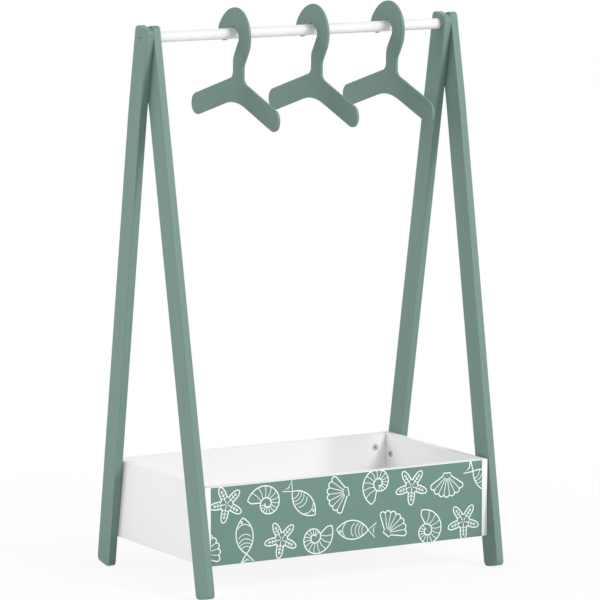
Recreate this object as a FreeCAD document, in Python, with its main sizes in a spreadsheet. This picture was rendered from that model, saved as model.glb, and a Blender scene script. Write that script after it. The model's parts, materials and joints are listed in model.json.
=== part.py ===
import FreeCAD, Part
import math
import os
import re

# Children's clothing rack: two lapped A-frame ends, a rod with three hangers, and a low storage box.
# X runs along the rod, Y points to the back, Z is up; the origin is on the floor, under the middle.

# Driving dimensions, in millimetres and degrees
SIZES = {
    # storage box
    "box_width": 600.0,
    "box_depth": 360.0,
    "box_height": 145.0,
    "box_lift": 57.5,
    "panel_thick": 12.0,
    "panel_edge_radius": 0.6,
    "print_thick": 0.8,
    "floor_thick": 5.0,
    "floor_rise": 10.0,
    "groove_depth": 5.0,
    "groove_slack": 0.3,
    # end frames
    "pivot_rise": 800.0,
    "leg_width": 47.0,
    "leg_thick": 15.0,
    "leg_setin": 24.5,
    "leg_head": 19.5,
    "leg_end_radius": 10.0,
    "leg_edge_radius": 1.5,
    "leg_bend_radius": 2000.0,
    "foot_flat": 1.0,
    # rod
    "rod_diameter": 20.0,
    "rod_insert_diameter": 10.0,
    "rod_insert_length": 20.0,
    # bolts and inserts
    "bolt_diameter": 6.0,
    "bolt_slack": 0.3,
    "thread_fit": 0.05,
    "socket_across_corners": 4.6,
    "socket_depth": 1.8,
    "pivot_head_diameter": 13.0,
    "pivot_head_height": 2.6,
    "pivot_head_sink": 0.3,
    "pivot_bolt_bite": 16.0,
    "leg_bolt_inset": 13.0,
    "leg_bolt_drop": 39.0,
    "leg_bolt_head_diameter": 12.0,
    "leg_bolt_rim": 1.2,
    "leg_bolt_crown": 0.9,
    "leg_insert_diameter": 9.0,
    "blind_cover": 3.0,
    "blind_end": 0.4,
    # corner fittings of the box
    "cam_diameter": 12.0,
    "cam_setback": 24.0,
    "cam_edge_distance": 27.0,
    "cam_recess": 5.0,
    "cam_recess_width": 1.3,
    "cam_recess_depth": 1.4,
    "dowel_diameter": 5.0,
    "dowel_neck_diameter": 3.0,
    "dowel_head_length": 4.0,
    # hangers
    "hanger_thick": 6.0,
    "hanger_edge_radius": 1.5,
    "hanger_pitch": 163.0,
    "hanger_offset": 27.4,
    "middle_hanger_shift": 1.7,
    "hanger_hang_angle": 1.6,
    "hook_gap": 0.3,
    "hook_seat_radius": 14.0,
    "hook_seat_back": 5.5,
    "hook_peak_radius": 7.0,
    "hook_peak_forward": 2.5,
    "hook_peak_height": 12.0,
    "hook_bore_radius": 20.3,
    "hook_throat_radius": 10.2,
    "hook_crown_radius": 53.0,
    "hook_crown_forward": 4.8,
    "hook_crown_drop": 5.1,
    "hook_back_radius": 79.0,
    "hook_tip_radius": 18.4,
    "neck_front": 35.0,
    "neck_back": 0.9,
    "neck_slant_angle": 31.4,
    "neck_front_radius": 16.4,
    "neck_back_radius": 28.4,
    "shoulder_radius": 14.2,
    "arm_slope_angle": 17.5,
    "arm_width": 40.7,
    "arm_reach": 163.2,
    "arm_forward": 5.0,
    "arm_drop": 98.8,
    "crotch_radius": 132.0,
}

# Angles, seen from the hook's centres, at which its blended arcs meet
CROWN_TO_BACK_ANGLE = 73.4
BACK_TO_TIP_ANGLE = 31.5
BORE_TO_THROAT_ANGLE = 163.0

V = FreeCAD.Vector
AXIS_X = V(1, 0, 0)
AXIS_Y = V(0, 1, 0)
AXIS_Z = V(0, 0, 1)
# Turns that point a cylinder's own Z axis along the named direction
ALONG = {
    "+x": FreeCAD.Rotation(AXIS_Y, 90),
    "-x": FreeCAD.Rotation(AXIS_Y, -90),
    "+y": FreeCAD.Rotation(AXIS_X, -90),
    "-y": FreeCAD.Rotation(AXIS_X, 90),
}
HALF_TURN = FreeCAD.Placement(V(0, 0, 0), FreeCAD.Rotation(AXIS_Z, 180))
STAY = FreeCAD.Placement()
# The left end is the right end turned half round the middle of the rack
SIDES = {"right": STAY, "left": HALF_TURN}

doc = FreeCAD.newDocument("clothing_rack")
sheet = doc.addObject("Spreadsheet::Sheet", "Sizes")
for row, (name, number) in enumerate(SIZES.items(), start=1):
    sheet.set(f"A{row}", name)
    sheet.set(f"B{row}", str(number))
    sheet.setAlias(f"B{row}", name)
doc.recompute()
finished = []


def size(name):
    """A driving dimension, read from the sheet."""
    return float(sheet.get(name))


def bind(item, prop, text):
    """Bind a property to an expression written with the sheet's names."""
    item.setExpression(prop, re.sub(r"[a-z_]+", r"Sizes.\g<0>", text))


def block(name, length, width, height, corner):
    """A box whose sizes follow the sheet, with its lowest corner at a point."""
    item = doc.addObject("Part::Box", name)
    bind(item, "Length", length)
    bind(item, "Width", width)
    bind(item, "Height", height)
    item.Placement = FreeCAD.Placement(corner, FreeCAD.Rotation())
    return item


def cylinder(name, radius, height, start, way, turn=STAY):
    """A cylinder from a point along a named direction; its height follows the sheet or is worked out."""
    item = doc.addObject("Part::Cylinder", name)
    bind(item, "Radius", radius)
    if isinstance(height, str):
        bind(item, "Height", height)
    else:
        item.Height = height
    item.Placement = turn.multiply(FreeCAD.Placement(start, ALONG[way]))
    return item


def hex_socket(name, start, way, turn=STAY):
    """The hole for a hex key, from its floor out through a bolt's head."""
    item = doc.addObject("Part::Prism", name)
    item.Polygon = 6
    bind(item, "Circumradius", "socket_across_corners / 2")
    bind(item, "Height", "socket_depth * 2")
    item.Placement = turn.multiply(FreeCAD.Placement(start, ALONG[way]))
    return item


def join(name, items):
    """Several solids as one shape."""
    whole = doc.addObject("Part::MultiFuse", name)
    whole.Shapes = items
    return whole


def cut(name, base, tools):
    """The base with every tool taken out of it."""
    piece = doc.addObject("Part::Cut", name)
    piece.Base = base
    piece.Tool = tools[0] if len(tools) == 1 else join(name + "_tools", tools)
    return piece


def softened(base, radius, bare=lambda edge: False):
    """A block with its edges rounded, apart from those that the bare test picks."""
    doc.recompute()
    edges = [i for i, edge in enumerate(base.Shape.Edges, start=1) if not bare(edge)]
    piece = doc.addObject("Part::Fillet", base.Name + "_soft")
    piece.Base = base
    piece.Edges = [(i, radius, radius) for i in edges]
    return piece


def keep(item):
    """Mark a sub-part as finished."""
    finished.append(item)
    return item


def copies(name, master, placements):
    """Separate solids of one pattern, placed as a group."""
    doc.recompute()
    solids = []
    for placement in placements:
        solid = master.Shape.Solids[0].copy()
        solid.Placement = placement.multiply(solid.Placement)
        solids.append(solid)
    group = doc.addObject("Part::Feature", name)
    group.Shape = Part.makeCompound(solids)
    return group


def at(x, y, z, rotation=FreeCAD.Rotation()):
    """A placement at a point."""
    return FreeCAD.Placement(V(x, y, z), rotation)


def polar(centre, length, degrees):
    """The point at a distance and an angle from a centre, in an outline's plane."""
    angle = math.radians(degrees)
    return (centre[0] + length * math.cos(angle), centre[1] + length * math.sin(angle))


def belt(circles):
    """Closed outline round circles (centre, radius, bulge), joined by their common tangents.

    The outline runs counterclockwise; bulge is 1 where it bends outward and -1 where it bends inward.
    Circles that touch from inside blend straight into one another.
    """
    count = len(circles)
    leave = []
    arrive = [None] * count
    for i in range(count):
        (ya, za), ra, ba = circles[i]
        (yb, zb), rb, bb = circles[(i + 1) % count]
        dy = yb - ya
        dz = zb - za
        ratio = (ba * ra - bb * rb) / math.hypot(dy, dz)
        if abs(abs(ratio) - 1) < 1e-9:
            ratio = math.copysign(1, ratio)
        heading = math.atan2(dz, dy) + math.asin(ratio)
        right = (math.sin(heading), -math.cos(heading))
        leave.append((ya + ba * ra * right[0], za + ba * ra * right[1]))
        arrive[(i + 1) % count] = (yb + bb * rb * right[0], zb + bb * rb * right[1])
    edges = []
    for i in range(count):
        (y, z), radius, bulge = circles[i]
        start = math.atan2(arrive[i][1] - z, arrive[i][0] - y)
        end = math.atan2(leave[i][1] - z, leave[i][0] - y)
        if bulge < 0:
            start, end = end, start
        ring = Part.Circle(V(y, z, 0), AXIS_Z, radius)
        edges.append(Part.ArcOfCircle(ring, start, end))
        target = arrive[(i + 1) % count]
        if math.dist(leave[i], target) > 1e-6:
            edges.append(Part.LineSegment(V(*leave[i], 0), V(*target, 0)))
    return edges


def plate(name, outline, thick, edge_radius=None):
    """A flat board cut to an outline in the YZ plane, with its rims rounded if a radius is given."""
    body = doc.addObject("PartDesign::Body", name)
    sketch = body.newObject("Sketcher::SketchObject", name + "_outline")
    plane = next(f for f in body.Origin.OriginFeatures if f.Role == "YZ_Plane")
    sketch.AttachmentSupport = [(plane, "")]
    sketch.MapMode = "FlatFace"
    sketch.addGeometry(outline, False)
    pad = body.newObject("PartDesign::Pad", name + "_pad")
    pad.Profile = sketch
    bind(pad, "Length", thick)
    if edge_radius is None:
        return body
    doc.recompute()
    rims = []
    for i, edge in enumerate(pad.Shape.Edges, start=1):
        if edge.BoundBox.XLength < 1e-6:
            rims.append(f"Edge{i}")
    rounding = body.newObject("PartDesign::Fillet", name + "_rims")
    rounding.Base = (pad, rims)
    bind(rounding, "Radius", edge_radius)
    return body


# Places that several pieces share
half_width = size("box_width") / 2
half_depth = size("box_depth") / 2
# The legs spread until each crosses the box's top edge a little inside its end
lean = math.atan((half_depth - size("leg_setin")) / size("pivot_rise"))
inner_x = half_width - size("panel_thick")
inner_y = half_depth - size("panel_thick")
box_bottom = size("box_lift")
box_top = box_bottom + size("box_height")
pivot_z = box_top + size("pivot_rise")
# The outboard leg lies flat on the other for the length of their lap
outboard_x = half_width + size("leg_thick")
pivot_face_x = outboard_x + size("leg_thick")
pivot_seat_x = pivot_face_x - size("pivot_head_height") - size("pivot_head_sink")
lap_length = size("leg_width") / 2 / math.tan(lean)
# Below the lap it bends in, and meets the box at its lower corner
box_reach = (pivot_z - box_bottom) * math.cos(lean) + half_depth * math.sin(lean)
bend_radius = size("leg_bend_radius")
below_lap = box_reach - lap_length
beside_bend = bend_radius - size("leg_thick")
bend = math.atan2(below_lap, beside_bend) - math.acos(bend_radius / math.hypot(below_lap, beside_bend))
# Each leg is bolted a little inside its middle line
leg_bolt_z = box_top - size("leg_bolt_drop")
leg_bolt_y = (pivot_z - leg_bolt_z) * math.tan(lean) - size("leg_bolt_inset")
leg_bolt_reach = (pivot_z - leg_bolt_z) * math.cos(lean) + leg_bolt_y * math.sin(lean)
leg_gap_at_bolt = (box_reach - leg_bolt_reach) * math.tan(bend)
cam_x = inner_x - size("cam_setback")
cam_heights = (box_bottom + size("cam_edge_distance"), box_top - size("cam_edge_distance"))
# Cam dowels run along the middle of the front and back boards
back_core_y = half_depth - size("panel_thick") / 2
front_core_y = -inner_y - (size("panel_thick") - size("print_thick")) / 2
# Lengths that several pieces share
CAM_DEPTH = "(panel_thick + dowel_diameter) / 2"
INSERT_LENGTH = "leg_thick - blind_cover"
SCREW_LENGTH = "panel_thick - blind_cover"
cam_cap = -inner_y - front_core_y - size("dowel_diameter") / 2 - 2 * size("thread_fit")
insert_length = size("leg_thick") - size("blind_cover")
screw_length = size("panel_thick") - size("blind_cover")


def leg_outline():
    """A straight bar along Z with rounded corners, its pivot at the origin."""
    radius = size("leg_end_radius")
    side = size("leg_width") / 2 - radius
    # The lower inside corner reaches just past the floor, where it is sanded flat
    drop = (pivot_z + size("foot_flat") - radius - side * math.sin(lean)) / math.cos(lean)
    top = size("leg_head") - radius
    corners = [(side, -drop), (side, top), (-side, top), (-side, -drop)]
    return belt([(corner, radius, 1) for corner in corners])


def bent_bar(name, placement):
    """A leg bar that is straight along the lap and bends in below it, its edges rounded."""
    thick = size("leg_thick")
    blank = plate(name + "_blank", leg_outline(), "leg_thick * 3")
    blank.Placement = placement.multiply(at(-2 * thick, 0, 0))

    # Side view of the bar, across its thickness and along its length
    centre = (-bend_radius, -lap_length)
    top = 2 * size("leg_head")
    fall = V(-math.sin(bend), -math.cos(bend), 0) * pivot_z
    faces = []
    ends = []
    for radius in (bend_radius, bend_radius + thick):
        face_x = radius - bend_radius
        bend_end = V(*polar(centre, radius, -math.degrees(bend)), 0)
        faces.append(Part.LineSegment(V(face_x, top, 0), V(face_x, -lap_length, 0)))
        faces.append(Part.ArcOfCircle(Part.Circle(V(*centre, 0), AXIS_Z, radius), -bend, 0))
        faces.append(Part.LineSegment(bend_end, bend_end + fall))
        ends.append(bend_end + fall)
    faces.append(Part.LineSegment(V(0, top, 0), V(thick, top, 0)))
    faces.append(Part.LineSegment(*ends))
    sketch = doc.addObject("Sketcher::SketchObject", name + "_side_view")
    sketch.addGeometry(faces, False)
    sketch.Placement = placement.multiply(at(0, 0, 0, FreeCAD.Rotation(AXIS_X, 90)))
    sweep = doc.addObject("Part::Extrusion", name + "_sweep")
    sweep.Base = sketch
    sweep.DirMode = "Normal"
    sweep.Symmetric = True
    sweep.Solid = True
    bind(sweep, "LengthFwd", "leg_width * 2")
    bar = doc.addObject("Part::Common", name)
    bar.Base = blank
    bar.Tool = sweep

    def stays_sharp(edge):
        """Edges through the thickness, and the lines across the leg where its bend starts and ends."""
        through = edge.BoundBox.XLength > thick / 2 and edge.Length < 2 * thick
        return through or abs(edge.Length - size("leg_width")) < 1e-3

    return softened(bar, size("leg_edge_radius"), stays_sharp)


def leg(name, outboard, side):
    """One leg of a frame, drilled for its pivot bolt and its box insert, and flat underfoot."""
    turn = SIDES[side]
    way = -1 if outboard else 1
    x = outboard_x if outboard else half_width
    rotation = FreeCAD.Rotation(AXIS_X, way * math.degrees(lean))
    placement = turn.multiply(at(x, 0, pivot_z, rotation))
    if outboard:
        blank = bent_bar(name + "_bar", placement)
    else:
        blank = plate(name + "_bar", leg_outline(), "leg_thick", "leg_edge_radius")
        blank.Placement = placement
    before = half_width - size("leg_thick")
    tools = [cylinder(name + "_pivot_hole", "bolt_diameter / 2 + bolt_slack", "leg_thick * 4",
                      V(before, 0, pivot_z), "+x", turn)]
    insert_x = half_width + (leg_gap_at_bolt if outboard else 0)
    insert_end = V(insert_x + insert_length + size("blind_end"), way * leg_bolt_y, leg_bolt_z)
    tools.append(cylinder(name + "_insert_hole", "leg_insert_diameter / 2 + thread_fit", "leg_thick * 2",
                          insert_end, "-x", turn))
    if outboard:
        tools.append(cylinder(name + "_head_recess", "pivot_head_diameter / 2 + bolt_slack", "leg_thick",
                              V(pivot_seat_x, 0, pivot_z), "+x", turn))
    ground = block(name + "_ground", "box_width * 2", "box_depth * 2", "leg_width",
                   V(-2 * half_width, -2 * half_depth, -size("leg_width")))
    return keep(cut(name, blank, tools + [ground]))


def frame_end(side):
    """The pivot hardware of one end frame: the bolt, and the insert in the rod's end."""
    turn = SIDES[side]
    head = cylinder(side + "_pivot_head", "pivot_head_diameter / 2", "pivot_head_height",
                    V(pivot_seat_x, 0, pivot_z), "+x", turn)
    shank = cylinder(side + "_pivot_shank", "bolt_diameter / 2",
                     pivot_seat_x - half_width + size("pivot_bolt_bite"),
                     V(pivot_seat_x, 0, pivot_z), "-x", turn)
    socket_x = pivot_seat_x + size("pivot_head_height") - size("socket_depth")
    socket = hex_socket(side + "_pivot_socket", V(socket_x, 0, pivot_z), "+x", turn)
    bolt = join(side + "_pivot_blank", [head, shank])
    keep(cut(side + "_pivot_bolt", bolt, [socket]))

    sleeve = cylinder(side + "_insert_sleeve", "rod_insert_diameter / 2", "rod_insert_length",
                      V(half_width, 0, pivot_z), "-x", turn)
    thread = cylinder(side + "_insert_thread", "bolt_diameter / 2 + thread_fit", "rod_insert_length * 2",
                      V(half_width + size("rod_insert_length") / 2, 0, pivot_z), "-x", turn)
    keep(cut(side + "_rod_insert", sleeve, [thread]))


def hanging_rod():
    """The round rod, bored at both ends for its inserts."""
    bar = cylinder("rod_bar", "rod_diameter / 2", "box_width", V(-half_width, 0, pivot_z), "+x")
    bores = []
    for side, turn in SIDES.items():
        start = V(half_width - size("rod_insert_length") - size("blind_end"), 0, pivot_z)
        bores.append(cylinder(side + "_rod_bore", "rod_insert_diameter / 2 + thread_fit",
                              "rod_insert_length * 2", start, "+x", turn))
    keep(cut("hanging_rod", bar, bores))


def floor_groove(name):
    """The slot that the bottom board slides into, with room above and beside the board."""
    reach_x = inner_x + size("groove_depth")
    reach_y = inner_y + size("groove_depth")
    return block(name, "box_width - 2 * panel_thick + 2 * groove_depth",
                 "box_depth - 2 * panel_thick + 2 * groove_depth", "floor_thick + groove_slack",
                 V(-reach_x, -reach_y, box_bottom + size("floor_rise")))


def storage_box():
    """Side, front, back and bottom boards, with the printed sheet on the front."""
    edge_radius = size("panel_edge_radius")
    for side, turn in SIDES.items():
        sign = 1 if side == "right" else -1
        left_x = inner_x if sign > 0 else -half_width
        board = block(side + "_side_board", "panel_thick", "box_depth", "box_height",
                      V(left_x, -half_depth, box_bottom))
        tools = [floor_groove(side + "_side_groove")]
        for y in (-leg_bolt_y, leg_bolt_y):
            start = V(inner_x - size("panel_thick"), y, leg_bolt_z)
            tools.append(cylinder(f"{side}_bolt_hole_{len(tools)}", "bolt_diameter / 2 + bolt_slack",
                                  "panel_thick * 3", start, "+x", turn))
        for y in (front_core_y, back_core_y):
            for z in cam_heights:
                start = V(inner_x + screw_length + size("blind_end"), sign * y, z)
                tools.append(cylinder(f"{side}_dowel_hole_{len(tools)}", "dowel_diameter / 2 + thread_fit",
                                      "panel_thick * 2", start, "-x", turn))
        keep(cut(side + "_side_panel", softened(board, edge_radius), tools))

    for face, way in (("front", -1), ("back", 1)):
        printed = face == "front"
        low_y = inner_y if way > 0 else -half_depth + size("print_thick")
        thick = "panel_thick - print_thick" if printed else "panel_thick"
        board = block(face + "_board", "box_width - 2 * panel_thick", thick, "box_height",
                      V(-inner_x, low_y, box_bottom))
        tools = [floor_groove(face + "_groove")]
        core_y = front_core_y if printed else back_core_y
        for side, turn in SIDES.items():
            for z in cam_heights:
                count = len(tools)
                mouth = V(cam_x if side == "right" else -cam_x, way * inner_y, z)
                tools.append(cylinder(f"{face}_cam_hole_{count}", "cam_diameter / 2 + thread_fit",
                                      CAM_DEPTH + " + blind_end", mouth, "+y" if way > 0 else "-y"))
                start = V(cam_x, core_y if side == "right" else -core_y, z)
                tools.append(cylinder(f"{face}_dowel_way_{count}", "dowel_diameter / 2 + bolt_slack",
                                      "cam_setback * 2", start, "+x", turn))
        on_print = -half_depth + size("print_thick") + 1e-6
        soft = softened(board, edge_radius, lambda edge: printed and edge.BoundBox.YMax < on_print)
        keep(cut(face + "_panel", soft, tools))

    keep(block("front_print_sheet", "box_width - 2 * panel_thick", "print_thick", "box_height",
               V(-inner_x, -half_depth, box_bottom)))

    slack = size("groove_slack")
    keep(block("bottom_panel", "box_width - 2 * panel_thick + 2 * groove_depth - 2 * groove_slack",
               "box_depth - 2 * panel_thick + 2 * groove_depth - 2 * groove_slack", "floor_thick",
               V(-inner_x - size("groove_depth") + slack, -inner_y - size("groove_depth") + slack,
                 box_bottom + size("floor_rise"))))


def leg_bolts_and_inserts():
    """The bolts that hold the legs to the side panels, and the inserts they screw into."""
    rim = cylinder("leg_bolt_rim_disc", "leg_bolt_head_diameter / 2", "leg_bolt_rim", V(0, 0, 0), "-x")
    crown = doc.addObject("Part::Cone", "leg_bolt_crown_cone")
    bind(crown, "Radius1", "leg_bolt_head_diameter / 2")
    bind(crown, "Radius2", "leg_bolt_head_diameter / 2 - leg_bolt_crown")
    bind(crown, "Height", "leg_bolt_crown")
    crown.Placement = at(-size("leg_bolt_rim"), 0, 0, ALONG["-x"])
    shank = cylinder("leg_bolt_shank", "bolt_diameter / 2", "panel_thick + " + INSERT_LENGTH,
                     V(0, 0, 0), "+x")
    head_height = size("leg_bolt_rim") + size("leg_bolt_crown")
    socket = hex_socket("leg_bolt_socket", V(size("socket_depth") - head_height, 0, 0), "-x")
    bolt = cut("leg_bolt", join("leg_bolt_blank", [rim, crown, shank]), [socket])
    sleeve = cylinder("leg_insert_sleeve", "leg_insert_diameter / 2", INSERT_LENGTH, V(0, 0, 0), "+x")
    thread = cylinder("leg_insert_thread", "bolt_diameter / 2 + thread_fit", "leg_thick * 3",
                      V(-size("leg_thick"), 0, 0), "+x")
    insert = cut("leg_insert", sleeve, [thread])
    for side, turn in SIDES.items():
        bolts = [turn.multiply(at(inner_x, y, leg_bolt_z)) for y in (leg_bolt_y, -leg_bolt_y)]
        keep(copies(side + "_leg_bolts", bolt, bolts))
        # The straight leg's insert is flush with the box; the bent leg's sits a little further out
        spots = [at(half_width, leg_bolt_y, leg_bolt_z)]
        spots.append(at(half_width + leg_gap_at_bolt, -leg_bolt_y, leg_bolt_z))
        keep(copies(side + "_leg_inserts", insert, [turn.multiply(spot) for spot in spots]))


def corner_fittings():
    """Cam locks in the front and back boards, and the dowels that they draw in."""
    drum = cylinder("cam_drum", "cam_diameter / 2", CAM_DEPTH, V(0, 0, 0), "+y")
    slot_half = size("dowel_diameter") / 2 + size("bolt_slack")
    slot = block("cam_slot", "cam_diameter", "panel_thick", "dowel_diameter + 2 * bolt_slack",
                 V(-size("dowel_head_length"), cam_cap, -slot_half))
    across = size("cam_recess") / 2
    narrow = size("cam_recess_width") / 2
    deep = size("cam_recess_depth")
    flat = block("cam_recess_flat", "cam_recess", "cam_recess_depth * 2", "cam_recess_width",
                 V(-across, -deep, -narrow))
    upright = block("cam_recess_upright", "cam_recess_width", "cam_recess_depth * 2", "cam_recess",
                    V(-narrow, -deep, -across))
    cam = cut("cam_lock", drum, [slot, flat, upright])
    # Cams at the left end are turned over, so that each slot faces its dowel
    turned_over = FreeCAD.Rotation(AXIS_Y, 180)
    for face, turn in (("back", STAY), ("front", HALF_TURN)):
        spots = []
        for z in cam_heights:
            spots.append(at(cam_x, inner_y, z))
            spots.append(at(-cam_x, inner_y, z, turned_over))
        keep(copies(face + "_cam_locks", cam, [turn.multiply(spot) for spot in spots]))

    shaft_end = size("cam_setback") - size("cam_diameter") / 2
    screw = cylinder("dowel_screw", "dowel_diameter / 2", SCREW_LENGTH, V(0, 0, 0), "+x")
    shaft = cylinder("dowel_shaft", "dowel_diameter / 2", shaft_end, V(0, 0, 0), "-x")
    neck = cylinder("dowel_neck", "dowel_neck_diameter / 2", "cam_diameter / 2", V(-shaft_end, 0, 0), "-x")
    head_start = size("cam_setback") - size("dowel_head_length") / 2
    head = cylinder("dowel_head", "dowel_diameter / 2", "dowel_head_length", V(-head_start, 0, 0), "-x")
    dowel = join("cam_dowel", [screw, shaft, neck, head])
    for side, turn in SIDES.items():
        rows = (back_core_y, front_core_y) if side == "right" else (-back_core_y, -front_core_y)
        spots = [turn.multiply(at(inner_x, y, z)) for y in rows for z in cam_heights]
        keep(copies(side + "_cam_dowels", dowel, spots))


def hanger_outline():
    """The hanger's outline about the rod's axis: first the hook, then the neck and the two arms."""
    # The hook rests on the rod behind a shallow peak in its bore
    rest = size("rod_diameter") / 2 + size("hook_gap")
    peak = size("hook_peak_radius")
    peak_y = -size("hook_peak_forward")
    peak_z = size("hook_peak_height") - peak
    fall = math.acos((rest - peak) / math.hypot(peak_y, peak_z)) - math.atan2(-peak_y, peak_z)
    seat = size("hook_seat_radius")
    seat_y = size("hook_seat_back")
    seat_z = (rest - seat - seat_y * math.sin(fall)) / math.cos(fall)
    bore = size("hook_bore_radius")
    bore_centre = (0, rest - bore)
    throat = size("hook_throat_radius")
    throat_centre = polar(bore_centre, bore - throat, BORE_TO_THROAT_ANGLE)
    crown = size("hook_crown_radius")
    crown_centre = (-size("hook_crown_forward"), -size("hook_crown_drop"))
    back = size("hook_back_radius")
    back_centre = polar(crown_centre, crown - back, CROWN_TO_BACK_ANGLE)
    tip = size("hook_tip_radius")
    tip_centre = polar(back_centre, back - tip, BACK_TO_TIP_ANGLE)

    # Both sides of the neck bend from upright to the same slant, and run on into the hook
    slant = math.radians(size("neck_slant_angle"))
    front = size("neck_front_radius")
    front_y = -size("neck_front") - front
    front_across = (crown_centre[0] - front_y) * math.cos(slant)
    front_z = crown_centre[1] - (crown + front - front_across) / math.sin(slant)
    rear = size("neck_back_radius")
    rear_y = size("neck_back") - rear
    rear_across = (throat_centre[0] - rear_y) * math.cos(slant)
    rear_z = throat_centre[1] - (rear + throat - rear_across) / math.sin(slant)

    # The arms fall away evenly from a point below the hook
    slope = math.radians(size("arm_slope_angle"))
    half_arm = size("arm_width") / 2
    middle = -size("arm_forward")
    shoulder = size("shoulder_radius")
    end = size("arm_reach") - half_arm

    def above_arm(y, distance):
        """Height of a point that lies a distance above an arm's middle line."""
        return -size("arm_drop") - abs(y - middle) * math.tan(slope) + distance / math.cos(slope)

    front_shoulder_y = -size("neck_front") - shoulder
    rear_shoulder_y = size("neck_back") + shoulder
    crotch = size("crotch_radius")
    return belt([
        (tip_centre, tip, 1),
        (back_centre, back, 1),
        (crown_centre, crown, 1),
        ((front_y, front_z), front, -1),
        ((front_shoulder_y, above_arm(front_shoulder_y, half_arm + shoulder)), shoulder, -1),
        ((middle - end, above_arm(middle - end, 0)), half_arm, 1),
        ((middle, above_arm(middle, -half_arm - crotch)), crotch, -1),
        ((middle + end, above_arm(middle + end, 0)), half_arm, 1),
        ((rear_shoulder_y, above_arm(rear_shoulder_y, half_arm + shoulder)), shoulder, -1),
        ((rear_y, rear_z), rear, 1),
        (throat_centre, throat, -1),
        (bore_centre, bore, -1),
        ((peak_y, peak_z), peak, -1),
        ((seat_y, seat_z), seat, -1),
    ])


def hangers():
    """Three hangers on the rod, spaced by hand, each hanging a little front-heavy."""
    for step, name in enumerate(("left_hanger", "middle_hanger", "right_hanger"), start=-1):
        board = plate(name, hanger_outline(), "hanger_thick", "hanger_edge_radius")
        x = size("hanger_offset") + step * size("hanger_pitch") - size("hanger_thick") / 2
        if step == 0:
            x += size("middle_hanger_shift")
        board.Placement = at(x, 0, pivot_z, FreeCAD.Rotation(AXIS_X, size("hanger_hang_angle")))
        keep(board)


leg("right_rear_leg", False, "right")
leg("right_front_leg", True, "right")
leg("left_front_leg", False, "left")
leg("left_rear_leg", True, "left")
for end_side in SIDES:
    frame_end(end_side)
hanging_rod()
storage_box()
leg_bolts_and_inserts()
corner_fittings()
hangers()
doc.recompute()

# Nothing is written unless every object came out whole
for item in doc.Objects:
    if "Invalid" in item.State or "Error" in item.State:
        raise RuntimeError(f"{item.Label} failed: {item.State}")
for item in finished:
    if item.Shape.isNull() or not item.Shape.isValid() or not item.Shape.Solids:
        raise RuntimeError(f"{item.Label} has no valid solid")

os.makedirs("parts", exist_ok=True)
for item in finished:
    item.Shape.exportStep(f"parts/{item.Label}.step")
    print(f"{item.Label}: {len(item.Shape.Solids)} solids, {item.Shape.Volume / 1000:.2f} cm3")
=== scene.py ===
import json
import math

import bmesh
import bpy
from mathutils import Matrix, Vector


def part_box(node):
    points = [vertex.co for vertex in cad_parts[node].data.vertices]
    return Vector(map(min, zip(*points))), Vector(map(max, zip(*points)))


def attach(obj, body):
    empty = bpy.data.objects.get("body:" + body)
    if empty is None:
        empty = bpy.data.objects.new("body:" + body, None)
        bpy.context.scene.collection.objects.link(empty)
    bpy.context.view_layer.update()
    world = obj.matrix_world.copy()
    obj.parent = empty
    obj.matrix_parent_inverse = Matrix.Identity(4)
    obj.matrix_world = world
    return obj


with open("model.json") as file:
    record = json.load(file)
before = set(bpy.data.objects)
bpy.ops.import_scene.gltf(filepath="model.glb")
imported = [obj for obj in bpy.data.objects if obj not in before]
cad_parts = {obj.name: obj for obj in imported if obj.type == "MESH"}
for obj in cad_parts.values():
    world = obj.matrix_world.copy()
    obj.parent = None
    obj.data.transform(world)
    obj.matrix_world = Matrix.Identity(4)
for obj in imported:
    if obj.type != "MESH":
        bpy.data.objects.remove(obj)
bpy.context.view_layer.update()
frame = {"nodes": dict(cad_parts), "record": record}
RECORD = frame["record"]
MM = 0.001


# Shader nodes that several materials share

# Most of a noise's values lie in this band
NOISE_BAND = (0.3, 0.7)


def new_material(name):
    """A node material; returns it with its tree and its shader."""
    material = bpy.data.materials.new(name)
    material.use_nodes = True
    tree = material.node_tree
    return material, tree, tree.nodes["Principled BSDF"]


def calculation(tree, kind, operation):
    """A node that works out one operation on numbers or vectors."""
    node = tree.nodes.new(kind)
    node.operation = operation
    return node


def ranged(tree, value, start, end, smooth=False):
    """A value carried from one range to another, and held at its ends."""
    node = tree.nodes.new("ShaderNodeMapRange")
    if smooth:
        node.interpolation_type = "SMOOTHSTEP"
    node.inputs["From Min"].default_value, node.inputs["From Max"].default_value = start
    node.inputs["To Min"].default_value, node.inputs["To Max"].default_value = end
    tree.links.new(value, node.inputs["Value"])
    return node.outputs["Result"]


def noise(tree, size, stretch=(1, 1, 1), detail=3.0, lean=0.0):
    """Noise whose blotches are about a given size in metres, drawn out along axes that lean about X."""
    place = tree.nodes.new("ShaderNodeTexCoord")
    mapping = tree.nodes.new("ShaderNodeMapping")
    mapping.vector_type = "TEXTURE"
    mapping.inputs["Rotation"].default_value = (lean, 0, 0)
    mapping.inputs["Scale"].default_value = stretch
    texture = tree.nodes.new("ShaderNodeTexNoise")
    texture.inputs["Scale"].default_value = 1 / size
    texture.inputs["Detail"].default_value = detail
    tree.links.new(place.outputs["Object"], mapping.inputs["Vector"])
    tree.links.new(mapping.outputs["Vector"], texture.inputs["Vector"])
    return texture.outputs["Fac"]


def mean(tree, first, second):
    """The mean of two noises."""
    mix = tree.nodes.new("ShaderNodeMix")
    mix.inputs["Factor"].default_value = 0.5
    tree.links.new(first, mix.inputs["A"])
    tree.links.new(second, mix.inputs["B"])
    return mix.outputs["Result"]


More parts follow.
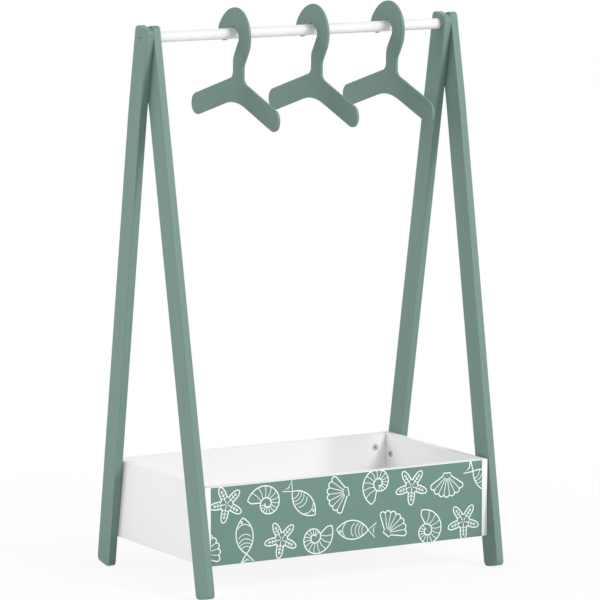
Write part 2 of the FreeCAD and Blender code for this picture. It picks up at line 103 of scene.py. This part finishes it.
def tinted(tree, shader, factor, colour, spread):
    """Base colour that wanders about a colour by a share of it; returns its socket."""
    ramp = tree.nodes.new("ShaderNodeValToRGB")
    for element, position, share in zip(ramp.color_ramp.elements, NOISE_BAND, (1 - spread, 1 + spread)):
        element.position = position
        element.color = [*[c * share for c in colour], 1]
    tree.links.new(factor, ramp.inputs["Fac"])
    tree.links.new(ramp.outputs["Color"], shader.inputs["Base Color"])
    return ramp.outputs["Color"]


def uneven(tree, shader, factor, low, high):
    """Roughness that follows a noise between two values."""
    tree.links.new(ranged(tree, factor, NOISE_BAND, (low, high)), shader.inputs["Roughness"])


def bumped(tree, shader, factor, height, strength):
    """Relief of a given height in metres."""
    bump = tree.nodes.new("ShaderNodeBump")
    bump.inputs["Strength"].default_value = strength
    bump.inputs["Distance"].default_value = height
    tree.links.new(factor, bump.inputs["Height"])
    tree.links.new(bump.outputs["Normal"], shader.inputs["Normal"])


# Mask of the painted edge shade: the normal's fourth powers add up to 1 on a face along the axes, and to 0.5
# halfway over its rounded edge
EDGE_BAND = (0.5, 0.95)


def painted_edge_shade(tree, shader, body, colour):
    """Painted shade: another colour where the surface turns over a rounded edge, with a normal along none of
    the axes.
    """
    geometry = tree.nodes.new("ShaderNodeNewGeometry")
    square = calculation(tree, "ShaderNodeVectorMath", "MULTIPLY")
    fourth = calculation(tree, "ShaderNodeVectorMath", "DOT_PRODUCT")
    mix = tree.nodes.new("ShaderNodeMix")
    mix.data_type = "RGBA"
    colour_a, colour_b = [socket for socket in mix.inputs if socket.type == "RGBA"]
    colour_b.default_value = [*colour, 1]
    result = [socket for socket in mix.outputs if socket.type == "RGBA"][0]
    for socket in square.inputs[:2]:
        tree.links.new(geometry.outputs["Normal"], socket)
    for socket in fourth.inputs[:2]:
        tree.links.new(square.outputs["Vector"], socket)
    tree.links.new(ranged(tree, fourth.outputs["Value"], EDGE_BAND, (1.0, 0.0)), mix.inputs["Factor"])
    tree.links.new(body, colour_a)
    tree.links.new(result, shader.inputs["Base Color"])


# Materials: each paint, ink and metal varies over its surface at the scale of the real one

DRIFT_SIZE = 60 * MM
STREAK_SIZE = 3 * MM
SHEEN_SIZE = 25 * MM
SHEEN_SPREAD = 0.06
PEEL_DETAIL = 2.0
PEEL_HEIGHT, PEEL_STRENGTH = 0.03 * MM, 0.12
PAINT_SPECULAR = 0.2


def paint(name, colour, roughness, spread=0.03, grain=(1, 1, 1), peel=0.6 * MM, lean=0.0, edge=None):
    """Sprayed paint on board: faint drifts of tone, slight orange peel, grain that just shows through, and,
    given an edge colour, painted shade over rounded edges.
    """
    material, tree, shader = new_material(name)
    drift = noise(tree, DRIFT_SIZE, grain, lean=lean)
    streaks = noise(tree, STREAK_SIZE, [s * s for s in grain], lean=lean)
    body = tinted(tree, shader, mean(tree, drift, streaks), colour, spread)
    # Painted shade: a darker colour over the rounded edges
    if edge:
        painted_edge_shade(tree, shader, body, edge)
    sheen = noise(tree, SHEEN_SIZE, grain, lean=lean)
    uneven(tree, shader, sheen, roughness - SHEEN_SPREAD, roughness + SHEEN_SPREAD)
    bumped(tree, shader, noise(tree, peel, grain, PEEL_DETAIL, lean), PEEL_HEIGHT, PEEL_STRENGTH)
    shader.inputs["Specular IOR Level"].default_value = PAINT_SPECULAR
    return material


PATCH_SIZE, PATCH_SPREAD = 3 * MM, 0.08
DULL_SIZE, DULL_STRETCH = 0.8 * MM, (4, 1, 1)
MARK_SIZE, MARK_STRETCH = 0.3 * MM, (6, 1, 1)
MARK_HEIGHT, MARK_STRENGTH = 0.01 * MM, 0.3


def metal(name, colour, low, high):
    """Zinc plate: a bright metal with fine turning marks and dull patches."""
    material, tree, shader = new_material(name)
    tinted(tree, shader, noise(tree, PATCH_SIZE), colour, PATCH_SPREAD)
    uneven(tree, shader, noise(tree, DULL_SIZE, DULL_STRETCH), low, high)
    bumped(tree, shader, noise(tree, MARK_SIZE, MARK_STRETCH), MARK_HEIGHT, MARK_STRENGTH)
    shader.inputs["Metallic"].default_value = 1.0
    return material


def grey(value):
    """A grey as a colour."""
    return (value, value, value)


# The legs' grain follows their lean, which their feet and the rod's axis give
FOOT = RECORD["mounts"][0]["pos_m"]
ROD_AXIS = RECORD["behaviour"]["joints"][0]["pos_m"]
LEG_LEAN = math.atan2(abs(FOOT[1]), ROD_AXIS[2])
LEG_GRAIN = (1, 1, 9)
ROD_GRAIN = (9, 1, 1)
HANGER_GRAIN = (1, 3, 1)

SAGE = (0.172, 0.270, 0.225)
# Painted shade: the hangers' sage is a little darker than the legs', standing in for the shade their
# neighbours cast on them
HANGER_SAGE = (0.163, 0.257, 0.214)
PRINT_GREEN = (0.144, 0.256, 0.208)
INK_WHITE = (0.9, 0.92, 0.9)
# Painted shade for the insides of the sockets and slots
SHADE_BLACK = (0.02, 0.02, 0.021)

LOOKS = {
    "hanger_paint": paint("hanger_paint", HANGER_SAGE, 0.44, grain=HANGER_GRAIN),
    # The panels' edge colour is painted shade along their rounded edges
    "panel_paint": paint("panel_paint", grey(0.902), 0.42, spread=0.008, edge=grey(0.7)),
    "rod_paint": paint("rod_paint", grey(0.825), 0.34, spread=0.008, grain=ROD_GRAIN),
    "print_sheet": paint("print_sheet", PRINT_GREEN, 0.55, spread=0.025, peel=0.35 * MM),
    "bolt_paint": paint("bolt_paint", SAGE, 0.42, spread=0.04),
    "zinc_steel": metal("zinc_steel", grey(0.72), 0.28, 0.45),
}
LEG_LOOKS = {
    "front": paint("leg_paint_front", SAGE, 0.38, spread=0.06, grain=LEG_GRAIN, lean=-LEG_LEAN),
    "rear": paint("leg_paint_rear", SAGE, 0.38, spread=0.06, grain=LEG_GRAIN, lean=LEG_LEAN),
}
LEG_BOLT_LOOK = metal("dull_steel", grey(0.52), 0.3, 0.5)
INK_LOOK = paint("print_ink", INK_WHITE, 0.5, spread=0.02, peel=0.5 * MM)
# Painted shade: a near-black paint for the insides of the sockets and slots
SOCKET_SHADE_LOOK = paint("socket_painted_shade", SHADE_BLACK, 0.6, spread=0.3, peel=0.4 * MM)
# Painted shade: a dark grey for the ring of shadow round each cam lock
CAM_SHADE_RING_LOOK = paint("cam_ring_shade_paint", grey(0.16), 0.5, spread=0.1, peel=0.4 * MM)


def look_of(node, slot):
    """The material of a CAD node, from its name and its slot in the record."""
    if slot == "leg_paint":
        return LEG_LOOKS["front" if "front" in node else "rear"]
    if node.endswith("leg_bolts"):
        return LEG_BOLT_LOOK
    return LOOKS[slot]


for part in RECORD["subparts"]:
    materials = frame["nodes"][part["node"]].data.materials
    materials.clear()
    materials.append(look_of(part["node"], part["material_slot"]))


def mesh_piece(name, material, fill):
    """A mesh built by a function, riding on the rack."""
    data = bpy.data.meshes.new(name)
    shape = bmesh.new()
    fill(shape)
    bmesh.ops.recalc_face_normals(shape, faces=shape.faces)
    shape.to_mesh(data)
    shape.free()
    data.materials.append(material)
    piece = bpy.data.objects.new(name, data)
    bpy.context.collection.objects.link(piece)
    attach(piece, "rack")


# Motifs of the print: line drawings from the seashore, about one unit long
# A motif is a list of lines; each has its points, whether it is a closed ring, and its weight

OUTLINE, BOLD, MEDIUM, FINE = 1.0, 0.7, 0.65, 0.6


def arc(centre, radius, start, end, count):
    """Points along a circular arc, from one angle in degrees to another."""
    points = []
    for i in range(count + 1):
        angle = math.radians(start + (end - start) * i / count)
        points.append(Vector((centre[0] + radius * math.cos(angle), centre[1] + radius * math.sin(angle))))
    return points


def scallop():
    """A fan shell: lobed rim, ribs that meet at the hinge, and two small ears."""
    hinge = Vector((0, -0.42))
    rim_reach = 0.82
    rib_start, rib_end = 0.14, 0.8
    lobes = 7
    first, last = math.radians(25), math.radians(155)
    angles = [first + (last - first) * i / lobes for i in range(lobes + 1)]
    rays = [Vector((math.cos(angle), math.sin(angle))) for angle in angles]
    rim = []
    for a, b in zip(rays, rays[1:]):
        lean = math.degrees(math.atan2(a.y + b.y, a.x + b.x))
        middle = hinge + (a + b) / 2 * rim_reach
        rim += arc(middle, (b - a).length / 2 * rim_reach, lean - 90, lean + 90, 8)[:-1]
    ears = [Vector((-0.2, -0.4)), Vector((-0.17, -0.52)), Vector((0.17, -0.52)), Vector((0.2, -0.4))]
    lines = [(rim + ears, True, OUTLINE)]
    for ray in rays[1:-1]:
        lines.append(([hinge + ray * rib_start, hinge + ray * rib_end], False, MEDIUM))
    return lines


def starfish():
    """Five round-tipped arms, each with a line of ridges down its middle."""
    arms = 5
    core, arm_reach, taper = 0.19, 0.33, 1.3
    spine_start, spine_end = 0.03, 0.42
    ridges = ((0.16, 0.085), (0.25, 0.065), (0.34, 0.045))
    ridge_bend = 0.04
    count = 90
    outline = []
    for i in range(count):
        angle = math.tau * i / count
        reach = core + arm_reach * (0.5 + 0.5 * math.cos(arms * angle)) ** taper
        outline.append(Vector((math.sin(angle), math.cos(angle))) * reach)
    lines = [(outline, True, OUTLINE)]
    for arm in range(arms):
        angle = math.tau * arm / arms
        along = Vector((math.sin(angle), math.cos(angle)))
        across = Vector((along.y, -along.x))
        lines.append(([along * spine_start, along * spine_end], False, MEDIUM))
        for place, half in ridges:
            tips = [along * (place + ridge_bend) + across * half * side for side in (-1, 1)]
            lines.append(([tips[0], along * place, tips[1]], False, FINE))
    return lines


def nautilus():
    """A coiled shell: a growing spiral, with curved walls between one turn and the next."""
    start, growth = 0.06, 0.176
    turns = 2 * math.tau
    count = 96
    walls = 15
    wall_lead, wall_bow = 0.25, 0.12
    innermost = 0.1

    def at(angle):
        """The spiral's point at an angle."""
        return Vector((math.cos(angle), math.sin(angle))) * start * math.exp(growth * angle)

    coil = [at(turns * i / count) for i in range(count + 1)]
    mouth = at(turns - math.tau)
    lip_bow = at(turns) * 0.62 + mouth * 0.38 + Vector((0.02, 0.05))
    lines = [(coil, False, OUTLINE), ([at(turns), lip_bow, mouth], False, OUTLINE)]
    for i in range(1, walls):
        outer = turns - math.tau * i / walls
        inner = max(outer - math.tau + wall_lead, innermost)
        bow = (at(outer - wall_bow) + at(inner)) / 2
        lines.append(([at(outer), bow, at(inner)], False, FINE))
    return lines


def fish():
    """A round-bellied fish: two arcs for the body, a forked tail, a gill and curved rows of scales."""
    middle = 0.1
    half, sag = 0.4, 0.21
    radius = (half ** 2 + sag ** 2) / (2 * sag)
    spread = math.degrees(math.asin(half / radius))
    back = arc((middle, sag - radius), radius, 90 - spread, 90 + spread, 18)
    belly = arc((middle, radius - sag), radius, 270 - spread, 270 + spread, 18)
    root = Vector((middle - half, 0))
    tail = [root, root + Vector((-0.2, 0.17)), root + Vector((-0.13, 0)), root + Vector((-0.2, -0.17))]
    gill = arc((0.16, 0), 0.19, -52, 52, 10)
    eye = arc((0.4, 0.04), 0.022, 0, 324, 9)
    body = back + belly[1:-1]
    lines = [(body, True, OUTLINE), (tail, True, OUTLINE), (gill, False, BOLD), (eye, True, BOLD)]
    for x, turn in ((-0.06, 52.2), (-0.16, 54), (-0.25, 52.2), (-0.33, 43.2)):
        lines.append((arc((x, 0), 0.19, -turn, turn, 10), False, FINE))
    return lines


# The printed front: the motifs in two staggered rows, as raised ink on the sheet

FRONT_LOW, FRONT_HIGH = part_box("front_print_sheet")
MARGIN = 0.5 * MM
LINE_WIDTH = 2.0 * MM
# Lines stand at different heights, in steps over a share of the ink's, so that none coincide where they cross
INK_HEIGHT = 0.08 * MM
INK_STEPS = 16
INK_RISE = 0.5
RIM_WIDTH = 1.2 * MM
RIM_DROP = 0.05 * MM
MOTIF_LENGTHS = {scallop: 70 * MM, starfish: 66 * MM, fish: 84 * MM, nautilus: 66 * MM}
MOTIF_COUNT = 16
MOTIF_PITCH = 78 * MM
FIRST_MOTIF = -7.8 * MM
ROW_RISE = 37 * MM
ROW_WAVE, WAVE_STEP = 6 * MM, 2.3
FIRST_TURN, TURN_STEP = -50, 73
# Nearer than these, two places, two levels or two shares of a line count as one
SAME_PLACE = 1e-7
SAME_LEVEL = 1e-9
SAME_SHARE = 1e-6


def inside(a, b):
    """The part of a straight line that lies on the printed sheet, or nothing."""
    enter, leave = 0.0, 1.0
    low = (FRONT_LOW.x + MARGIN, FRONT_LOW.z + MARGIN)
    high = (FRONT_HIGH.x - MARGIN, FRONT_HIGH.z - MARGIN)
    for axis in (0, 1):
        run = b[axis] - a[axis]
        if abs(run) < SAME_LEVEL:
            if not low[axis] <= a[axis] <= high[axis]:
                return None
            continue
        first, second = sorted(((low[axis] - a[axis]) / run, (high[axis] - a[axis]) / run))
        enter = max(enter, first)
        leave = min(leave, second)
    if leave - enter < SAME_SHARE:
        return None
    return a.lerp(b, enter), a.lerp(b, leave)


def on_sheet(points, closed):
    """The runs of a line that lie on the sheet, and whether each is still a closed ring."""
    loop = points + points[:1] if closed else points
    runs = []
    whole = closed
    for a, b in zip(loop, loop[1:]):
        kept = inside(a, b)
        if kept is None:
            whole = False
            continue
        if runs and (runs[-1][-1] - kept[0]).length < SAME_PLACE:
            runs[-1].append(kept[1])
        else:
            runs.append([kept[0], kept[1]])
    if whole and len(runs) == 1 and (runs[0][0] - runs[0][-1]).length < SAME_PLACE:
        return [(runs[0][:-1], True)]
    return [(run, False) for run in runs]


def bridge(shape, a, b):
    """Faces between two rings of as many points."""
    for i in range(len(a)):
        j = (i + 1) % len(a)
        shape.faces.new((a[i], a[j], b[j], b[i]))


def ribbon(shape, points, closed, width, height):
    """A flat band of ink along a line: a closed solid that stands on the sheet and sinks a little into it."""
    count = len(points)
    section = ((1, -height), (-1, -height), (-1, height / 2), (1, height / 2))
    rings = []
    for i, point in enumerate(points):
        before = points[i - 1] if closed or i else point
        after = points[(i + 1) % count] if closed or i + 1 < count else point
        along = (after - before).normalized()
        across = Vector((-along.y, along.x)) * width / 2
        ring = []
        for side, depth in section:
            place = point + across * side
            ring.append(shape.verts.new((place.x, FRONT_LOW.y + depth, place.y)))
        rings.append(ring)
    for a, b in zip(rings, rings[1:]):
        bridge(shape, a, b)
    if closed:
        bridge(shape, rings[-1], rings[0])
    else:
        shape.faces.new(rings[0])
        shape.faces.new(rings[-1][::-1])


def fitted(lines):
    """A motif centred on the origin, with its longer side one unit long."""
    points = [point for line in lines for point in line[0]]
    low = Vector((min(p.x for p in points), min(p.y for p in points)))
    high = Vector((max(p.x for p in points), max(p.y for p in points)))
    middle = (low + high) / 2
    longest = max(high - low)
    return [([(p - middle) / longest for p in run], closed, weight) for run, closed, weight in lines]


def draw_print(shape):
    """Motifs in two staggered rows, some cut off by the sheet's edges, and a thin rim along the top."""
    middle = (FRONT_LOW.z + FRONT_HIGH.z) / 2
    kinds = [(fitted(motif()), length) for motif, length in MOTIF_LENGTHS.items()]
    step = 0
    for i in range(MOTIF_COUNT):
        lines, length = kinds[(i + i // len(kinds)) % len(kinds)]
        row = 1 if i % 2 else -1
        x = FRONT_LOW.x + FIRST_MOTIF + MOTIF_PITCH * i / 2
        z = middle + row * (ROW_RISE + ROW_WAVE * math.sin(WAVE_STEP * i))
        turn = Matrix.Rotation(math.radians(FIRST_TURN + TURN_STEP * i), 2)
        for points, closed, weight in lines:
            placed = [turn @ point * length + Vector((x, z)) for point in points]
            for run, ring in on_sheet(placed, closed):
                step = (step + 1) % INK_STEPS
                ribbon(shape, run, ring, LINE_WIDTH * weight, INK_HEIGHT * (1 + INK_RISE * step / INK_STEPS))
    level = FRONT_HIGH.z - RIM_WIDTH / 2 - RIM_DROP
    ends = [Vector((x, level)) for x in (FRONT_LOW.x + MARGIN, FRONT_HIGH.x - MARGIN)]
    ribbon(shape, ends, False, RIM_WIDTH, INK_HEIGHT * (1 + INK_RISE))


mesh_piece("front_print_lines", INK_LOOK, draw_print)


# Fittings: painted shade in the bolt heads' sockets and the cam locks' slots, and a painted shade ring round
# each cam lock's face
# Tops and ends are depths under the face of the bolt's head or the cam lock

BOLTS_LOW, BOLTS_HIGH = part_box("right_leg_bolts")
PIVOT_LOW, PIVOT_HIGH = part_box("right_pivot_bolt")
CAMS_LOW, CAMS_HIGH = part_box("back_cam_locks")
BOLT_RADIUS = 6.0 * MM
CAM_RADIUS = 6.0 * MM
SOCKET_RADIUS = 1.95 * MM
SOCKET_TOP, SOCKET_END = 0.4 * MM, 1.9 * MM
SOCKET_SIDES = 24
SLOT_LONG, SLOT_WIDE = 5.0 * MM, 1.3 * MM
SLOT_TOP, SLOT_END = 0.3 * MM, 1.5 * MM
SLOT_SLACK = 0.03 * MM
# The painted shade ring round each cam lock's face
SHADE_RING_OUTER, SHADE_RING_INNER = 5.95 * MM, 5.0 * MM
SHADE_RING_PROUD = 0.03 * MM
SHADE_RING_SIDES = 32


def circle(radius, count):
    """Points of a circle about the origin."""
    angles = [math.tau * i / count for i in range(count)]
    return [(radius * math.cos(angle), radius * math.sin(angle)) for angle in angles]


def plug(shape, top, end, y, z):
    """A dark round plug along X that fills a bolt's socket from just under its mouth, as painted shade."""
    rings = []
    for x in (top, end):
        rings.append([shape.verts.new((x, y + v, z + w)) for v, w in circle(SOCKET_RADIUS, SOCKET_SIDES)])
        shape.faces.new(rings[-1])
    bridge(shape, *rings)


def bar(shape, first, second):
    """A block between two opposite corners."""
    middle = Matrix.Translation((Vector(first) + Vector(second)) / 2)
    reach = [abs(b - a) for a, b in zip(first, second)]
    bmesh.ops.create_cube(shape, size=1.0, matrix=middle @ Matrix.Diagonal((*reach, 1)))


def cams():
    """Each cam lock's place along X, its side of the box, front or back, and its height."""
    reach = CAMS_HIGH.x - CAM_RADIUS
    heights = (CAMS_LOW.z + CAM_RADIUS, CAMS_HIGH.z - CAM_RADIUS)
    return [(x, way, z) for x in (-reach, reach) for way in (-1, 1) for z in heights]


def draw_socket_shade(shape):
    """Painted shade: dark plugs in the bolts' sockets and dark crosses in the cam locks' slots."""
    bolt_y = BOLTS_HIGH.y - BOLT_RADIUS
    bolt_z = (BOLTS_LOW.z + BOLTS_HIGH.z) / 2
    pivot_z = (PIVOT_LOW.z + PIVOT_HIGH.z) / 2
    for side in (-1, 1):
        for y in (-bolt_y, bolt_y):
            plug(shape, side * (BOLTS_LOW.x + SOCKET_TOP), side * (BOLTS_LOW.x + SOCKET_END), y, bolt_z)
        plug(shape, side * (PIVOT_HIGH.x - SOCKET_TOP), side * (PIVOT_HIGH.x - SOCKET_END), 0, pivot_z)
    for x, way, z in cams():
        for wide, high in ((SLOT_LONG, SLOT_WIDE), (SLOT_WIDE, SLOT_LONG)):
            half_x = wide / 2 - SLOT_SLACK
            half_z = high / 2 - SLOT_SLACK
            bar(shape, (x - half_x, way * (CAMS_LOW.y + SLOT_TOP), z - half_z),
                (x + half_x, way * (CAMS_LOW.y + SLOT_END), z + half_z))


def draw_cam_shade_rings(shape):
    """Painted shade: a dark ring round each cam lock's face, where the gap round it is in shadow."""
    section = ((SHADE_RING_INNER, -SHADE_RING_PROUD), (SHADE_RING_OUTER, -SHADE_RING_PROUD),
               (SHADE_RING_OUTER, SHADE_RING_PROUD), (SHADE_RING_INNER, SHADE_RING_PROUD))
    for x, way, z in cams():
        rings = []
        for radius, depth in section:
            y = way * (CAMS_LOW.y + depth)
            rings.append([shape.verts.new((x + u, y, z + w)) for u, w in circle(radius, SHADE_RING_SIDES)])
        for a, b in zip(rings, rings[1:] + rings[:1]):
            bridge(shape, a, b)


# Painted shade: dark plugs and crosses in the fittings' hollows
mesh_piece("shade_plugs_in_sockets", SOCKET_SHADE_LOOK, draw_socket_shade)
# Painted shade: a dark ring round each cam lock
mesh_piece("shade_rings_of_cams", CAM_SHADE_RING_LOOK, draw_cam_shade_rings)


def towards(azimuth, elevation):
    """The way out from the rack, at angles in degrees from its front, round to the right, and from level."""
    turn = math.radians(azimuth)
    rise = math.radians(elevation)
    return Vector((math.sin(turn) * math.cos(rise), -math.cos(turn) * math.cos(rise), math.sin(rise)))


# Camera: a long lens at the photograph's viewing angle, with the aim at its place in the picture

IMAGE = 600
SENSOR = 36
FOCAL_PIXELS = 4623.09
VIEW_AZIMUTH, VIEW_ELEVATION = -29.858, 8.019
ROLL = math.radians(-0.092)
DISTANCE = 8.584777
AIM = Vector((0, 0, 0.4525))
AIM_PIXEL = (299.525, 325.866)
CLIP_END = 100


def set_camera():
    """The camera, moved sideways instead of shifted, so that the aim falls on its pixel."""
    away = towards(VIEW_AZIMUTH, VIEW_ELEVATION)
    level = (-away).cross(Vector((0, 0, 1))).normalized()
    upright = level.cross(-away)
    right = math.cos(ROLL) * level + math.sin(ROLL) * upright
    up = math.cos(ROLL) * upright - math.sin(ROLL) * level
    across, down = [(pixel - IMAGE / 2) / FOCAL_PIXELS * DISTANCE for pixel in AIM_PIXEL]
    place = AIM + away * DISTANCE - right * across + up * down
    lens = bpy.data.cameras.new("camera")
    lens.sensor_width = SENSOR
    lens.lens = FOCAL_PIXELS / IMAGE * SENSOR
    lens.clip_end = CLIP_END
    camera = bpy.data.objects.new("camera", lens)
    camera.matrix_world = Matrix.Translation(place) @ Matrix((right, up, away)).transposed().to_4x4()
    bpy.context.collection.objects.link(camera)
    bpy.context.scene.camera = camera


set_camera()


# Studio: an even white surround, a white floor, a key lamp from the front right and a soft fill from the left

WHITE = (1, 1, 1, 1)
SURROUND = 0.55
FLOOR_REACH = 30
FLOOR_DROP = 0.2 * MM
FLOOR_COLOUR = (0.93, 0.93, 0.93, 1)
FLOOR_ROUGHNESS = 0.9
# Distances from the rack's middle between which the floor turns from one share of plain white to another
FADE = (0.35, 1.5)
FADE_SHARES = (0.88, 0.998)
LAMP_DISTANCE = 8.0
LAMP_AIM = Vector((0, 0, 0.5))


def seen_directly(tree):
    """One for rays that show the surround as such: straight, mirrored or through glass."""
    path = tree.nodes.new("ShaderNodeLightPath")
    straight = calculation(tree, "ShaderNodeMath", "MAXIMUM")
    any_ray = calculation(tree, "ShaderNodeMath", "MAXIMUM")
    tree.links.new(path.outputs["Is Camera Ray"], straight.inputs[0])
    tree.links.new(path.outputs["Is Glossy Ray"], straight.inputs[1])
    tree.links.new(straight.outputs["Value"], any_ray.inputs[0])
    tree.links.new(path.outputs["Is Transmission Ray"], any_ray.inputs[1])
    return any_ray.outputs["Value"]


def choose(tree, share, first, second, output):
    """One shader or the other, by a share, as what the tree puts out."""
    mix = tree.nodes.new("ShaderNodeMixShader")
    tree.links.new(share, mix.inputs["Fac"])
    tree.links.new(first, mix.inputs[1])
    tree.links.new(second, mix.inputs[2])
    tree.links.new(mix.outputs["Shader"], tree.nodes[output].inputs["Surface"])


def set_surround():
    """A world that lights the rack evenly, and is plain white where it is seen."""
    world = bpy.data.worlds.new("surround")
    world.use_nodes = True
    tree = world.node_tree
    lighting = tree.nodes["Background"]
    backdrop = tree.nodes.new("ShaderNodeBackground")
    for background, strength in ((lighting, SURROUND), (backdrop, 1.0)):
        background.inputs["Color"].default_value = WHITE
        background.inputs["Strength"].default_value = strength
    choose(tree, seen_directly(tree), lighting.outputs[0], backdrop.outputs[0], "World Output")
    bpy.context.scene.world = world


def floor_look():
    """A white floor that shows the rack's shadow near it, and fades to plain white further out."""
    material, tree, shader = new_material("floor")
    shader.inputs["Base Color"].default_value = FLOOR_COLOUR
    shader.inputs["Roughness"].default_value = FLOOR_ROUGHNESS
    glow = tree.nodes.new("ShaderNodeEmission")
    place = tree.nodes.new("ShaderNodeTexCoord")
    distance = calculation(tree, "ShaderNodeVectorMath", "LENGTH")
    share = calculation(tree, "ShaderNodeMath", "MULTIPLY")
    tree.links.new(place.outputs["Object"], distance.inputs[0])
    tree.links.new(seen_directly(tree), share.inputs[0])
    tree.links.new(ranged(tree, distance.outputs["Value"], FADE, FADE_SHARES, smooth=True), share.inputs[1])
    choose(tree, share.outputs["Value"], shader.outputs["BSDF"], glow.outputs["Emission"], "Material Output")
    return material


def lay_floor():
    """A wide square floor, just under the feet."""
    data = bpy.data.meshes.new("floor")
    corners = [(x * FLOOR_REACH, y * FLOOR_REACH, 0) for x, y in ((-1, -1), (1, -1), (1, 1), (-1, 1))]
    data.from_pydata(corners, [], [(0, 1, 2, 3)])
    data.materials.append(floor_look())
    floor = bpy.data.objects.new("floor", data)
    floor.location.z = -FLOOR_DROP
    bpy.context.collection.objects.link(floor)


def lamp(name, azimuth, elevation, size, power):
    """A square soft lamp turned to the rack, at angles in degrees from the front and from level."""
    way = towards(azimuth, elevation)
    data = bpy.data.lights.new(name, "AREA")
    data.size = size
    data.energy = power
    item = bpy.data.objects.new(name, data)
    item.location = LAMP_AIM + way * LAMP_DISTANCE
    item.rotation_mode = "QUATERNION"
    item.rotation_quaternion = (-way).to_track_quat("-Z", "Y")
    bpy.context.collection.objects.link(item)


set_surround()
lay_floor()
lamp("key", azimuth=22, elevation=33, size=2.1, power=362)
lamp("side_fill", azimuth=-115, elevation=28, size=4, power=192)
bpy.context.scene.view_settings.view_transform = "Standard"
